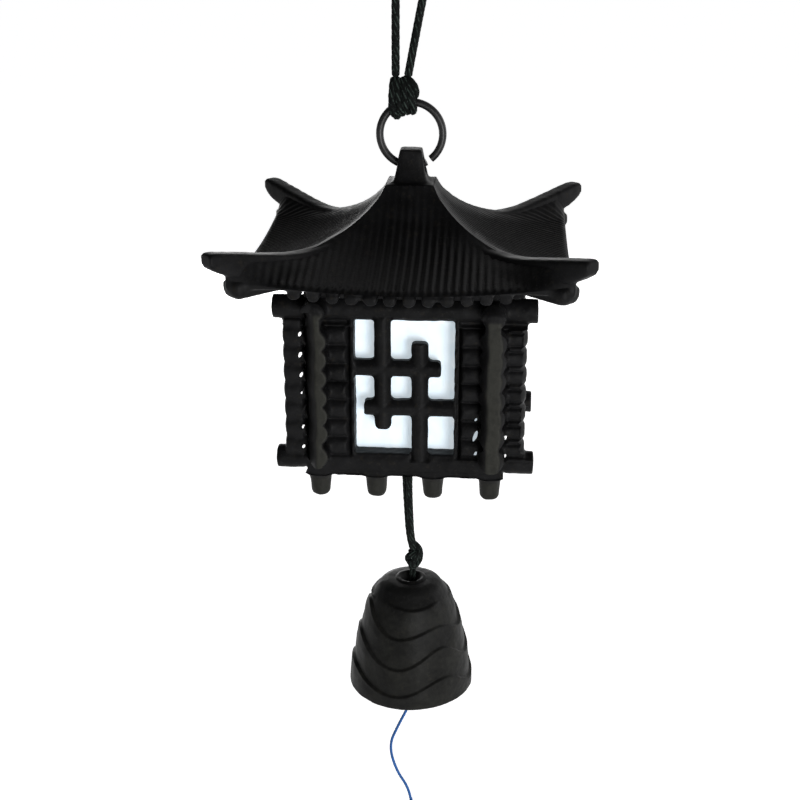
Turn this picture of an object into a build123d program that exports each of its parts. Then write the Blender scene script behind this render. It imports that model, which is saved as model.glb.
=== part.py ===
"""Cast-iron wind bell: a log-walled lantern house under a hipped roof, with a bell hung below it.

Millimetres, +Z up. The origin is where the hook carries the hanging cord's loop.
The front of the house faces -Y.
"""
import os
from math import cos, degrees, pi, radians, sin, sqrt, tan

from build123d import *

os.makedirs("parts", exist_ok=True)

# Fits shared by all pieces
overrun = 1.0
soft_gap = 0.3
swing_gap = 0.6
screw_gap = 0.1

# Hanging cord and its hitch
cord_diameter = 2.1
loop_width = 8.6
loop_bend_share = 0.45
hang_height = 55.0
hitch_left_strand_x = -4.2
hitch_right_strand_x = -1.2
hitch_lean = 14.0
wrap_count = 4
wrap_pitch_share = 0.98
wrap_gap = 0.05
hitch_top_drop = 26.6
hitch_body_width = 7.4
hitch_body_depth = 4.6
hitch_body_height = 4.3
hitch_round = 1.6

# Split ring
ring_wire = 2.2
ring_outer = 20.2
ring_split = 1.6
ring_split_angle = -56.0

# Lug and platform on the roof's top
lug_base = 9.8
lug_top = 6.2
lug_height = 9.3
lug_round = 1.0
lug_hole_rise = 4.3
lug_hole_diameter = 4.4
platform_width = 13.0
platform_thickness = 1.8

# Roof slopes
eave_half = 46.0
eave_drop = 21.2
corner_lift = 3.7
fascia_height = 3.0
slope_half_shares = (0.146, 0.185, 0.33, 0.48, 0.65, 0.83, 1.0)
slope_drop_shares = (0.0, 0.17, 0.47, 0.65, 0.8, 0.905, 1.0)
slope_turn = 13.0

# Hips with upturned noses, and the hip rafters under them
hip_half = 50.0
hip_drop = 14.2
hip_width = 5.4
hip_round = 0.9
hip_half_shares = (0.18, 0.3, 0.4, 0.5, 0.6, 0.72, 0.86, 0.96, 1.0)
hip_top_shares = (0.3, 0.7, 0.9, 0.99, 1.0, 0.92, 0.79, 0.7, 0.69)
hip_foot_shares = (0.62, 1.0, 1.17, 1.24, 1.27, 1.28, 1.24, 1.08, 0.95)
hip_width_shares = (1.0, 1.0, 1.0, 1.0, 1.0, 1.0, 1.0, 0.98, 0.86)
hip_rafter_half = 45.5
hip_rafter_root = 27.0
hip_rafter_drop = 23.4
hip_rafter_width = 7.6
hip_rafter_round = 2.4
hip_rafter_top_drop = 18.8
hip_rafter_root_drop = 19.0

# Rafters under the eaves
rafter_count = 12
rafter_pitch = 5.1
rafter_width = 3.6
rafter_drop = 25.0
rafter_reach = 44.8
rafter_round = 1.6
rafter_root = 27.0
rafter_tip_top_drop = 22.4
rafter_root_top_drop = 18.2

# Seat under the roof that stands on the walls
seat_drop = 27.8
seat_outer_half = 28.0
seat_inner_half = 23.2
seat_top_drop = 17.2
boss_place = 19.2
boss_diameter = 8.4
boss_top_drop = 14.0

# Log walls
wall_plane = 25.0
wall_inside = 22.5
log_diameter = 7.5
log_pitch = 5.55
front_log_count = 7
side_log_count = 6
first_log_drop = 38.6
log_reach = 34.5
beam_reach = 37.2
beam_diameter = 6.8
top_beam_drop = 31.0
bottom_beam_drop = 76.6
side_beam_drop = 73.4
side_beam_diameter = 7.4
side_beam_reach = 36.2
corner_half = 28.8
notch_width = 0.9
notch_height = 1.9
notch_place = 30.0

# Window and its lattice
window_half = 14.25
window_top_drop = 34.2
window_bottom_drop = 74.0
jamb_width = 1.2
jamb_front = 27.7
lattice_front = 28.3
lattice_back = 24.4
lattice_bar = 4.7
lattice_round = 1.1
left_bar_x = -6.2
right_bar_x = 4.4
left_bar_foot_drop = 66.4
right_bar_head_drop = 40.4
upper_bar_drop = 48.2
lower_bar_drop = 60.1
upper_bar_end_x = 10.4
lower_bar_end_x = -11.6
knob_diameter = 5.2
knob_reach = 36.6
knob_drop = 64.2
knob_round = 1.0
paper_thickness = 0.4
paper_margin = 2.0

# Floor with feet
floor_half = 29.0
floor_top_drop = 78.2
floor_thickness = 3.4
floor_round = 0.8
foot_count = 4
foot_pitch = 16.5
foot_row = 25.2
foot_top_diameter = 6.6
foot_tip_diameter = 5.4
foot_length = 6.5
foot_round = 1.2
cord_hole_diameter = 4.6

# Tie screws
screw_diameter = 3.0
screw_head_diameter = 5.6
screw_head_height = 2.2
screw_engagement = 6.0
screw_slot_width = 0.8
screw_slot_depth = 0.9

# Bell cord with its knots
strand_diameter = 1.5
strand_gap = 0.1
anchor_knot_diameter = 7.0
anchor_knot_height = 5.6
bell_knot_top_drop = 116.5
bell_knot_height = 8.6
bell_knot_diameter = 5.8
knot_turn_share = 0.62
knot_tilt = 24.0

# Bell
crown_drop = 128.7
bell_height = 37.1
bell_mouth_diameter = 40.0
bell_wall = 2.4
bell_radius_shares = (0.37, 0.485, 0.61, 0.71, 0.79, 0.875, 0.945, 1.0)
bell_depth_shares = (0.0, 0.025, 0.13, 0.26, 0.4, 0.58, 0.79, 1.0)
crown_hole_diameter = 3.8
crown_dish_diameter = 6.6
crown_dish_depth = 1.3
crown_ring_diameter = 8.4
crown_ring_wire = 1.2
crown_ring_sink = 0.2
stopper_diameter = 6.0
stopper_height = 4.6

# Clapper and its thread
thread_diameter = 0.8
clapper_drop = 155.0
clapper_diameter = 14.0
clapper_thickness = 3.2
clapper_round = 1.2
clapper_knot_diameter = 2.4

# Wind strip of paper
strip_top_drop = 219.0
strip_width = 40.0
strip_length = 100.0
strip_thickness = 0.4
strip_hole_diameter = 2.2
strip_hole_drop = 3.6

# Levels worked out from the sizes above
platform_z = -hang_height
ring_radius = (ring_outer - ring_wire) / 2
pivot_z = platform_z + lug_hole_rise
ring_z = pivot_z + ring_radius
eave_lift_radius = eave_half**2 / (2 * corner_lift)
log_heights = [platform_z - first_log_drop - log_pitch * i for i in range(front_log_count)]
seat_z = platform_z - seat_drop
floor_z = platform_z - floor_top_drop
floor_under_z = floor_z - floor_thickness
crown_z = platform_z - crown_drop
rim_z = crown_z - bell_height
bell_knot_top_z = platform_z - bell_knot_top_drop
bell_knot_foot_z = bell_knot_top_z - bell_knot_height
stopper_top_z = crown_z - crown_dish_depth - bell_wall
stopper_foot_z = stopper_top_z - stopper_height
clapper_z = platform_z - clapper_drop
strip_top_z = platform_z - strip_top_drop
strip_hole_z = strip_top_z - strip_hole_drop
strip_loop_radius = strip_hole_drop


def tube_report(name, path, radii, solid, diameter):
    """Print a cord's bend radii, and its volume against its section times its length."""
    length = sum(edge.length for edge in path.edges())
    print(f"{name}: radii {[round(r, 2) for r in radii]}, length {length:.1f},")
    print(f"volume {solid.volume:.1f} of {pi * diameter**2 / 4 * length:.1f}")


# Hanging cord: one strand up from the hitch, over the hook and down again
loop_foot_z = cord_diameter / 4 - hitch_top_drop
loop_corners = [
    (hitch_left_strand_x, 0, loop_foot_z),
    (-loop_width / 2, 0, cord_diameter / 2),
    (loop_width / 2, 0, cord_diameter / 2),
    (hitch_right_strand_x, 0, loop_foot_z),
]
loop_turns = []
for before, at, after in zip(loop_corners, loop_corners[1:], loop_corners[2:]):
    turn = (Vector(at) - Vector(before)).get_angle(Vector(after) - Vector(at))
    loop_turns.append(turn)
loop_radii = [loop_bend_share * loop_width / tan(radians(turn / 2)) for turn in loop_turns]
with BuildPart() as hanging_cord:
    with BuildLine() as loop_path:
        FilletPolyline(*loop_corners, radius=loop_radii)
    with BuildSketch(Plane(loop_path.line @ 0, z_dir=loop_path.line % 0)):
        Circle(cord_diameter / 2)
    sweep(path=loop_path.line)
hanging_cord.part.label = "hanging_cord"
export_step(hanging_cord.part, "parts/hanging_cord.step")
tube_report("hanging_cord", loop_path.line, loop_radii, hanging_cord.part, cord_diameter)

# Hitch: wraps side by side round the ring's wire, under a cross bight
wrap_radius = ring_wire / 2 + cord_diameter / 2 + wrap_gap
wrap_step = degrees(cord_diameter * wrap_pitch_share / ring_radius)
wrap_angles = [90 + hitch_lean + wrap_step * (i - (wrap_count - 1) / 2) for i in range(wrap_count)]
hitch_x = (hitch_left_strand_x + hitch_right_strand_x) / 2
with BuildPart() as hitch_knot:
    for wrap_angle in wrap_angles:
        wrap_x = ring_radius * cos(radians(wrap_angle))
        wrap_z = ring_z + ring_radius * sin(radians(wrap_angle))
        wrap_axis = (-sin(radians(wrap_angle)), 0, cos(radians(wrap_angle)))
        with Locations(Plane((wrap_x, 0, wrap_z), z_dir=wrap_axis)):
            Torus(wrap_radius, cord_diameter / 2)
    with BuildSketch(Plane.XY.offset(-hitch_top_drop - hitch_body_height)):
        with Locations((hitch_x, 0)):
            RectangleRounded(hitch_body_width, hitch_body_depth, hitch_round)
    extrude(amount=hitch_body_height)
    fillet(hitch_knot.faces().sort_by(Axis.Z)[-1].edges(), hitch_round)
hitch_knot.part.label = "hitch_knot"
export_step(hitch_knot.part, "parts/hitch_knot.step")

# Split ring of wire, open beside the lug
split_half_angle = degrees(ring_split / ring_radius) / 2
with BuildPart() as hanging_ring:
    with BuildLine() as ring_path:
        CenterArc(
            (0, 0), ring_radius, ring_split_angle + split_half_angle, 360 - 2 * split_half_angle
        )
    ring_line = Plane((0, 0, ring_z), x_dir=(1, 0, 0), z_dir=(0, -1, 0)) * ring_path.line
    with BuildSketch(Plane(ring_line @ 0, z_dir=ring_line % 0)):
        Circle(ring_wire / 2)
    sweep(path=ring_line)
hanging_ring.part.label = "hanging_ring"
export_step(hanging_ring.part, "parts/hanging_ring.step")


def slope_pair(thickness):
    """A pair of opposite slopes as one solid, turned about a high axis so that the eaves rise to the corners.

    The profile stands on the YZ plane and the axis runs along Y, so the slopes face -Y and +Y.
    """
    halves = [eave_half * share - thickness for share in slope_half_shares]
    drops = [eave_drop * share + thickness for share in slope_drop_shares]
    with BuildPart() as pair:
        with BuildSketch(Plane.YZ):
            with BuildLine():
                top = Spline(*[(h, platform_z - d) for h, d in zip(halves, drops)])
                fascia = Line(top @ 1, top @ 1 - Vector(0, fascia_height))
                foot = Line(fascia @ 1, (0, (fascia @ 1).Y))
                Line(foot @ 1, (0, platform_z - drops[0]))
                Line((0, platform_z - drops[0]), top @ 0)
            make_face()
            mirror(about=Plane.YZ)
        turn_axis = Axis((0, 0, platform_z - eave_drop + eave_lift_radius), (0, 1, 0))
        revolve(axis=turn_axis, revolution_arc=slope_turn)
        mirror(about=Plane.YZ)
    return pair.part


# Space inside the roof, between its slopes
inner_slopes = slope_pair(fascia_height)
with BuildPart() as roof_void:
    add(inner_slopes)
    add(inner_slopes.rotate(Axis.Z, 90), mode=Mode.INTERSECT)

# One rafter, seen from the side and drawn under the front eave
with BuildPart() as rafter:
    with BuildSketch(Plane.YZ):
        with BuildLine():
            Polyline(
                (-rafter_root, platform_z - rafter_drop),
                (-rafter_reach, platform_z - rafter_drop),
                (-rafter_reach, platform_z - rafter_tip_top_drop),
                (-rafter_root, platform_z - rafter_root_top_drop),
                close=True,
            )
        make_face()
    extrude(amount=rafter_width / 2, both=True)
    fillet(rafter.faces().sort_by(Axis.Z)[0].edges().filter_by(Axis.Y), rafter_round)

# One hip with its nose, drawn along the diagonal of the front right corner
diagonal = Plane((0, 0, platform_z), x_dir=(1, -1, 0), z_dir=(-1, -1, 0))
with BuildPart() as hip:
    for half_share, top_share, foot_share, width_share in zip(
        hip_half_shares, hip_top_shares, hip_foot_shares, hip_width_shares
    ):
        hip_place = diagonal.from_local_coords(
            (hip_half * sqrt(2) * half_share, -hip_drop * (top_share + foot_share) / 2, 0)
        )
        with BuildSketch(Plane(hip_place, x_dir=(1, 1, 0), z_dir=(1, -1, 0))):
            RectangleRounded(hip_width * width_share, hip_drop * (foot_share - top_share), hip_round)
    loft()

# One hip rafter under a corner, with a round end
with BuildPart() as hip_rafter:
    with BuildSketch(diagonal):
        with BuildLine():
            Polyline(
                (hip_rafter_root * sqrt(2), -hip_rafter_drop),
                (hip_rafter_half * sqrt(2), -hip_rafter_drop),
                (hip_rafter_half * sqrt(2), -hip_rafter_top_drop),
                (hip_rafter_root * sqrt(2), -hip_rafter_root_drop),
                close=True,
            )
        make_face()
    extrude(amount=hip_rafter_width / 2, both=True)
    fillet(hip_rafter.edges().filter_by(Axis.Z).sort_by(Axis.X)[-2:], hip_rafter_round)
    fillet(hip_rafter.faces().sort_by(Axis.Z)[0].edges(), hip_rafter_round)

# Roof casting
outer_slopes = slope_pair(0)
with BuildPart() as roof:
    add(outer_slopes)
    add(outer_slopes.rotate(Axis.Z, 90), mode=Mode.INTERSECT)
    add(roof_void.part, mode=Mode.SUBTRACT)
    # Seat frame and the four bosses for the tie screws
    with BuildSketch(Plane.XY.offset(seat_z)):
        Rectangle(2 * seat_outer_half, 2 * seat_outer_half)
        Rectangle(2 * seat_inner_half, 2 * seat_inner_half, mode=Mode.SUBTRACT)
    extrude(amount=seat_drop - seat_top_drop)
    with BuildSketch(Plane.XY.offset(seat_z)):
        with GridLocations(2 * boss_place, 2 * boss_place, 2, 2):
            Circle(boss_diameter / 2)
    extrude(amount=seat_drop - boss_top_drop)
    # Rafters rise towards the corners as the eaves do
    for side in range(4):
        for i in range(rafter_count):
            rafter_x = rafter_pitch * (i - (rafter_count - 1) / 2)
            rafter_lift = corner_lift * (rafter_x / eave_half) ** 2
            add(rafter.part.translate((rafter_x, 0, rafter_lift)).rotate(Axis.Z, 90 * side))
    for side in range(4):
        add(hip_rafter.part.rotate(Axis.Z, 90 * side))
        add(hip.part.rotate(Axis.Z, 90 * side))
    # Platform and pierced lug
    with BuildSketch(Plane.XY.offset(platform_z)):
        Rectangle(platform_width, platform_width)
    extrude(amount=-platform_thickness)
    with BuildSketch(Plane.XY.offset(platform_z)):
        RectangleRounded(lug_base, lug_base, lug_round)
    with BuildSketch(Plane.XY.offset(platform_z + lug_height)):
        RectangleRounded(lug_top, lug_top, lug_round)
    loft()
    with Locations(Plane((0, 0, pivot_z), z_dir=(1, 0, 0))):
        Cylinder(lug_hole_diameter / 2, lug_base + overrun, mode=Mode.SUBTRACT)
    # Holes for the tie screws
    with Locations((0, 0, seat_z)):
        with GridLocations(2 * boss_place, 2 * boss_place, 2, 2):
            Cylinder(
                screw_diameter / 2 + screw_gap, 2 * (screw_engagement + overrun), mode=Mode.SUBTRACT
            )
roof.part.label = "roof"
export_step(roof.part, "parts/roof.step")


def lattice(panel_front):
    """Four crossing bars of a pinwheel lattice, each with one end free, as a sketch on the panel's plane."""
    with BuildSketch(panel_front) as bars:
        left_bar_head = platform_z - window_top_drop + overrun
        left_bar_foot = platform_z - left_bar_foot_drop
        right_bar_head = platform_z - right_bar_head_drop
        right_bar_foot = platform_z - window_bottom_drop - overrun
        upper_bar_start = -window_half - jamb_width / 2
        lower_bar_start = window_half + jamb_width / 2
        with Locations((left_bar_x, (left_bar_head + left_bar_foot) / 2)):
            Rectangle(lattice_bar, left_bar_head - left_bar_foot)
        with Locations((right_bar_x, (right_bar_head + right_bar_foot) / 2)):
            Rectangle(lattice_bar, right_bar_head - right_bar_foot)
        with Locations(((upper_bar_start + upper_bar_end_x) / 2, platform_z - upper_bar_drop)):
            Rectangle(upper_bar_end_x - upper_bar_start, lattice_bar)
        with Locations(((lower_bar_start + lower_bar_end_x) / 2, platform_z - lower_bar_drop)):
            Rectangle(lower_bar_start - lower_bar_end_x, lattice_bar)
        fillet(bars.vertices(), lattice_round)
    return bars.sketch


def wall_panel(half_length, log_count, beam_places, end_reach, knob):
    """One wall, drawn as the front one: round logs on a flat inner face, with a latticed window.

    beam_places lists each beam's drop and diameter. The front and back walls also carry the crossing
    log ends at their corners.
    """
    bars = lattice(Plane((0, -lattice_back, 0), x_dir=(1, 0, 0), z_dir=(0, -1, 0)))
    inside_plane = Plane((0, -wall_inside, 0), x_dir=(1, 0, 0), z_dir=(0, -1, 0))
    centre_plane = Plane((0, -wall_plane, 0), x_dir=(1, 0, 0), z_dir=(0, -1, 0))
    with BuildPart() as panel:
        # Logs and beams along the wall
        with BuildSketch(Plane.YZ):
            with Locations(*[(-wall_plane, z) for z in log_heights[:log_count]]):
                Circle(log_diameter / 2)
        extrude(amount=end_reach or half_length, both=True)
        for drop, diameter in beam_places:
            with BuildSketch(Plane.YZ):
                with Locations((-wall_plane, platform_z - drop)):
                    Circle(diameter / 2)
            extrude(amount=beam_reach if end_reach else half_length, both=True)
        # Crossing ends of the side logs
        if end_reach:
            with BuildSketch(centre_plane):
                with Locations(*[
                    (x, z) for x in (-wall_plane, wall_plane) for z in log_heights[:side_log_count]
                ]):
                    Circle(log_diameter / 2)
            extrude(amount=log_reach - wall_plane)
            for drop, diameter, reach in (
                (top_beam_drop, beam_diameter, side_beam_reach),
                (side_beam_drop, side_beam_diameter, side_beam_reach),
            ):
                with BuildSketch(centre_plane):
                    with Locations((-wall_plane, platform_z - drop), (wall_plane, platform_z - drop)):
                        Circle(diameter / 2)
                extrude(amount=reach - wall_plane)
        # Flat web behind the logs, from floor to roof seat
        web_half = corner_half if end_reach else half_length
        with BuildSketch(inside_plane):
            with Locations((0, (seat_z + floor_z) / 2)):
                Rectangle(2 * web_half, seat_z - floor_z)
        extrude(amount=wall_plane - wall_inside)
        # Inner face, and the flats that the floor and the roof's seat bear on
        with Locations((0, -wall_inside, (seat_z + floor_z) / 2)):
            Box(
                2 * corner_half, log_diameter, 2 * (seat_z - floor_z),
                align=(Align.CENTER, Align.MIN, Align.CENTER), mode=Mode.SUBTRACT,
            )
        with Locations((0, -wall_plane, floor_z)):
            Box(
                2 * floor_half + 2 * soft_gap, 2 * (floor_half - wall_plane + soft_gap), beam_diameter,
                align=(Align.CENTER, Align.CENTER, Align.MAX), mode=Mode.SUBTRACT,
            )
        with Locations((0, -wall_plane, seat_z)):
            Box(
                2 * seat_outer_half + 2 * soft_gap, log_diameter + overrun, beam_diameter,
                align=(Align.CENTER, Align.CENTER, Align.MIN), mode=Mode.SUBTRACT,
            )
        # Window with its jambs
        window_height = window_bottom_drop - window_top_drop
        window_middle = platform_z - (window_top_drop + window_bottom_drop) / 2
        with BuildSketch(inside_plane):
            with Locations((0, window_middle)):
                Rectangle(2 * (window_half + jamb_width), window_height)
        extrude(amount=jamb_front - wall_inside)
        with BuildSketch(inside_plane):
            with Locations((0, window_middle)):
                Rectangle(2 * window_half, window_height)
        extrude(amount=log_diameter, mode=Mode.SUBTRACT)
        # Lattice bars with rounded corners
        extrude(bars, amount=lattice_front - lattice_back)
        # Knob on the foot of one lattice bar
        if knob:
            with BuildSketch(Plane((0, -lattice_back, 0), x_dir=(1, 0, 0), z_dir=(0, -1, 0))):
                with Locations((left_bar_x, platform_z - knob_drop)):
                    Circle(knob_diameter / 2)
            extrude(amount=knob_reach - lattice_back)
            fillet(panel.faces().sort_by(Axis.Y)[0].edges(), knob_round)
        # Slits of light between the crossing log ends
        if end_reach:
            for low, high in zip(log_heights[1:side_log_count], log_heights[:side_log_count]):
                with BuildSketch(inside_plane):
                    with Locations((-notch_place, (low + high) / 2), (notch_place, (low + high) / 2)):
                        Ellipse(notch_width / 2, notch_height / 2)
                extrude(amount=2 * log_diameter, both=True, mode=Mode.SUBTRACT)
    return panel.part


# Four walls: front and back run through, the side walls stand between them
front_beams = ((top_beam_drop, beam_diameter), (bottom_beam_drop, beam_diameter))
side_beams = ((top_beam_drop, beam_diameter), (side_beam_drop, side_beam_diameter))
wall_front = wall_panel(corner_half, front_log_count, front_beams, log_reach, knob=False)
wall_back = wall_front.rotate(Axis.Z, 180)
wall_plain = wall_panel(wall_inside, side_log_count, side_beams, 0, knob=False)
wall_left = wall_plain.rotate(Axis.Z, -90)
wall_knobbed = wall_panel(wall_inside, side_log_count, side_beams, 0, knob=True)
wall_right = wall_knobbed.rotate(Axis.Z, 90)
walls = {"wall_front": wall_front, "wall_back": wall_back, "wall_left": wall_left, "wall_right": wall_right}
for wall_name, wall in walls.items():
    wall.label = wall_name
    export_step(wall, f"parts/{wall_name}.step")

# Paper behind each lattice, flat against the wall's inner face
with BuildPart() as paper:
    with BuildSketch(Plane((0, -wall_inside, 0), x_dir=(1, 0, 0), z_dir=(0, 1, 0))):
        with Locations((0, -platform_z + (window_top_drop + window_bottom_drop) / 2)):
            Rectangle(
                2 * (window_half + paper_margin),
                window_bottom_drop - window_top_drop + 2 * paper_margin,
            )
    extrude(amount=paper_thickness)
for paper_name, paper_turn in (("front", 0), ("right", 90), ("back", 180), ("left", 270)):
    sheet = paper.part.rotate(Axis.Z, paper_turn)
    sheet.label = f"paper_{paper_name}"
    export_step(sheet, f"parts/paper_{paper_name}.step")

# Floor with a row of feet along each edge
foot_places = []
for i in range(foot_count):
    along = foot_pitch * (i - (foot_count - 1) / 2)
    for side_x, side_y in ((along, -foot_row), (along, foot_row), (-foot_row, along), (foot_row, along)):
        is_corner = i in (0, foot_count - 1)
        if not is_corner or abs(side_y) == foot_row:
            foot_places.append((side_x, side_y))
with BuildPart() as floor:
    with BuildSketch(Plane.XY.offset(floor_under_z)):
        Rectangle(2 * floor_half, 2 * floor_half)
    extrude(amount=floor_thickness)
    fillet(floor.edges().filter_by(Axis.Z), floor_round)
    with BuildSketch(Plane.XY.offset(floor_under_z)):
        with Locations(*foot_places):
            Circle(foot_top_diameter / 2)
    extrude(
        amount=-foot_length,
        taper=degrees((foot_top_diameter - foot_tip_diameter) / 2 / foot_length),
    )
    fillet(floor.faces().filter_by(Axis.Z).group_by(Axis.Z)[0].edges(), foot_round)
    with Locations((0, 0, floor_z)):
        Cylinder(cord_hole_diameter / 2, 2 * (floor_thickness + overrun), mode=Mode.SUBTRACT)
        with GridLocations(2 * boss_place, 2 * boss_place, 2, 2):
            Cylinder(
                screw_diameter / 2 + screw_gap, 2 * (floor_thickness + overrun), mode=Mode.SUBTRACT
            )
floor.part.label = "floor"
export_step(floor.part, "parts/floor.step")

# Tie screws from under the floor into the roof's bosses, with slotted heads
with BuildPart() as tie_screws:
    with BuildSketch(Plane.XY.offset(floor_under_z)):
        with GridLocations(2 * boss_place, 2 * boss_place, 2, 2):
            Circle(screw_diameter / 2)
    extrude(amount=seat_z - floor_under_z + screw_engagement)
    with BuildSketch(Plane.XY.offset(floor_under_z)):
        with GridLocations(2 * boss_place, 2 * boss_place, 2, 2):
            Circle(screw_head_diameter / 2)
    extrude(amount=-screw_head_height)
    with BuildSketch(Plane.XY.offset(floor_under_z - screw_head_height)):
        with GridLocations(2 * boss_place, 2 * boss_place, 2, 2):
            Rectangle(screw_head_diameter + overrun, screw_slot_width)
    extrude(amount=screw_slot_depth, mode=Mode.SUBTRACT)
tie_screws.part.label = "tie_screws"
export_step(tie_screws.part, "parts/tie_screws.step")


def knot(centre_z, diameter, height, turns_tilt):
    """A tied lump: an upright barrel with two fat turns of cord slanting across it."""
    turn_wire = diameter * (1 - knot_turn_share)
    with BuildPart() as lump:
        with Locations((0, 0, centre_z)):
            Cylinder(diameter * knot_turn_share / 2, height)
        fillet(lump.edges(), diameter * knot_turn_share / 4)
        for tilt, rise in ((turns_tilt, height / 6), (-turns_tilt, -height / 6)):
            with Locations(Location((0, 0, centre_z + rise), (tilt, tilt / 2, 0))):
                Torus((diameter - turn_wire) / 2, turn_wire / 2)
    return lump.part


def strand_pair(top_z, foot_z, along):
    """Two taut strands side by side, spread along the given direction."""
    spread = (strand_diameter + strand_gap) / 2
    with BuildPart() as pair:
        with BuildSketch(Plane.XY.offset(foot_z)):
            with Locations(along * spread, -along * spread):
                Circle(strand_diameter / 2)
        extrude(amount=top_z - foot_z)
    return pair.part


# Knot inside the house, seated on the floor, with the cord's stub in the floor's hole
anchor_middle = floor_z + anchor_knot_height / 2
anchor_lump = knot(anchor_middle, anchor_knot_diameter, anchor_knot_height, knot_tilt / 2)
with BuildPart() as anchor_knot:
    add(anchor_lump)
    with BuildSketch(Plane.XY.offset(floor_under_z + soft_gap)):
        SlotOverall(2 * strand_diameter, strand_diameter)
    extrude(amount=anchor_middle - floor_under_z - soft_gap)
anchor_knot.part.label = "anchor_knot"
export_step(anchor_knot.part, "parts/anchor_knot.step")

# Doubled cord from the floor down to its knot
bell_cord = strand_pair(floor_under_z - swing_gap, bell_knot_top_z, Vector(1, 0))
bell_cord.label = "bell_cord"
export_step(bell_cord, "parts/bell_cord.step")

# Overhand knot above the bell
bell_knot = knot(bell_knot_top_z - bell_knot_height / 2, bell_knot_diameter, bell_knot_height, knot_tilt)
bell_knot.label = "bell_knot"
export_step(bell_knot, "parts/bell_knot.step")

# Cord going into the crown, its two strands one behind the other
crown_cord = strand_pair(bell_knot_foot_z - swing_gap, stopper_top_z, Vector(0, 1))
crown_cord.label = "crown_cord"
export_step(crown_cord, "parts/crown_cord.step")

# Bell, turned from one profile
mouth_radius = bell_mouth_diameter / 2
outer_points = [
    (mouth_radius * r, crown_z - bell_height * d) for r, d in zip(bell_radius_shares, bell_depth_shares)
]
inner_height = bell_height - crown_dish_depth - bell_wall
inner_points = [
    ((mouth_radius - bell_wall) * r, rim_z + inner_height * (1 - d))
    for r, d in zip(bell_radius_shares, bell_depth_shares)
]
with BuildPart() as bell:
    with BuildSketch(Plane.XZ):
        with BuildLine():
            Line((0, crown_z), outer_points[0])
            Spline(*outer_points)
            Line(outer_points[-1], inner_points[-1])
            Spline(*inner_points)
            Line(inner_points[0], (0, inner_points[0][1]))
            Line((0, inner_points[0][1]), (0, crown_z))
        make_face()
    revolve(axis=Axis.Z)
    # Ring round the crown's dish, the dish and the cord's hole
    with Locations((0, 0, crown_z - crown_ring_sink)):
        Torus(crown_ring_diameter / 2, crown_ring_wire / 2)
    with Locations((0, 0, crown_z)):
        Cone(
            crown_hole_diameter / 2, crown_dish_diameter / 2, crown_dish_depth,
            align=(Align.CENTER, Align.CENTER, Align.MAX), mode=Mode.SUBTRACT,
        )
        Cylinder(
            crown_hole_diameter / 2, 2 * (crown_dish_depth + bell_wall + overrun), mode=Mode.SUBTRACT
        )
bell.part.label = "bell"
export_step(bell.part, "parts/bell.step")

# Knot inside the crown that carries the bell
stopper_knot = knot((stopper_top_z + stopper_foot_z) / 2, stopper_diameter, stopper_height, 0)
stopper_knot.label = "stopper_knot"
export_step(stopper_knot, "parts/stopper_knot.step")

# Clapper disc on its thread, with the knot that holds it
clapper_top_z = clapper_z + clapper_thickness / 2
clapper_foot_z = clapper_z - clapper_thickness / 2
with BuildPart() as clapper:
    with Locations((0, 0, clapper_z)):
        Cylinder(clapper_diameter / 2, clapper_thickness)
    fillet(clapper.edges(), clapper_round)
    with Locations((0, 0, clapper_z)):
        Cylinder(thread_diameter / 2 + screw_gap, clapper_thickness + overrun, mode=Mode.SUBTRACT)
clapper.part.label = "clapper"
export_step(clapper.part, "parts/clapper.step")

with BuildPart() as clapper_thread:
    with BuildSketch(Plane.XY.offset(clapper_foot_z)):
        Circle(thread_diameter / 2)
    extrude(amount=stopper_foot_z - soft_gap - clapper_foot_z)
clapper_thread.part.label = "clapper_thread"
export_step(clapper_thread.part, "parts/clapper_thread.step")

with BuildPart() as clapper_knot:
    with Locations((0, 0, clapper_foot_z - clapper_knot_diameter / 2)):
        Sphere(clapper_knot_diameter / 2)
clapper_knot.part.label = "clapper_knot"
export_step(clapper_knot.part, "parts/clapper_knot.step")

# Thread from the clapper down to the wind strip's loop
strip_pivot_z = clapper_foot_z - clapper_knot_diameter - soft_gap
loop_top_z = strip_top_z + strip_loop_radius
with BuildPart() as strip_thread:
    with BuildSketch(Plane.XY.offset(loop_top_z + thread_diameter / 2 + soft_gap)):
        Circle(thread_diameter / 2)
    extrude(amount=strip_pivot_z - loop_top_z - thread_diameter / 2 - soft_gap)
strip_thread.part.label = "strip_thread"
export_step(strip_thread.part, "parts/strip_thread.step")

# Loop of thread through the strip's hole
with BuildPart() as strip_loop:
    with Locations(Plane((0, 0, strip_top_z), z_dir=(1, 0, 0))):
        Torus(strip_loop_radius, thread_diameter / 2)
strip_loop.part.label = "strip_loop"
export_step(strip_loop.part, "parts/strip_loop.step")

# Paper strip that catches the wind
with BuildPart() as wind_strip:
    with BuildSketch(Plane((0, -strip_thickness / 2, 0), x_dir=(1, 0, 0), z_dir=(0, 1, 0))):
        with Locations((0, -strip_top_z + strip_length / 2)):
            Rectangle(strip_width, strip_length)
        with Locations((0, -strip_hole_z)):
            Circle(strip_hole_diameter / 2, mode=Mode.SUBTRACT)
    extrude(amount=strip_thickness)
wind_strip.part.label = "wind_strip"
export_step(wind_strip.part, "parts/wind_strip.step")
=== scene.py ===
"""Looks of a cast-iron wind bell: a log-walled lantern house, a waved bell, cords and paper.

Sizes are in millimetres, put into the meshes in metres. The house's front looks along -Y.
"""
import math

import bmesh
import bpy
import numpy as np
from mathutils import Matrix, Vector


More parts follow.
